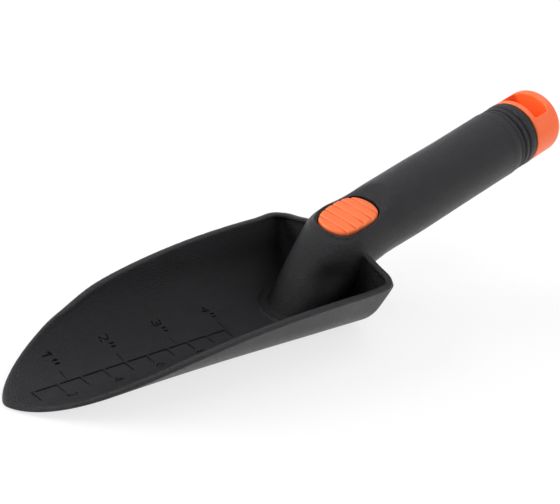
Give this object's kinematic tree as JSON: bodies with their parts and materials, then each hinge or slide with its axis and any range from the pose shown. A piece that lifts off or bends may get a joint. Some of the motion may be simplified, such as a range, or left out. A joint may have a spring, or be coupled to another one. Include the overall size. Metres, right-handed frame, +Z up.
{
  "type": "hand trowel",
  "caption": "Moulded plastic hand trowel with a deep pointed scoop, a raised hollow handle, a ribbed thumb pad and a slotted end cap.",
  "frame": {"origin": "centre of the bounding box, on the surface that the trowel lies on", "axes": "+X from the blade's tip towards the handle's end, +Z up with the scoop open upwards, XZ is the plane of symmetry"},
  "size_m": [0.2934, 0.0698, 0.0829],
  "materials": {
    "body": "fine moulded grain, satin",
    "thumb_pad": "smooth satin",
    "end_cap": "smooth satin"
  },
  "bodies": {
    "root": {"body": "body", "thumb_pad": "thumb_pad", "end_cap": "end_cap"}
  },
  "joints": []
}
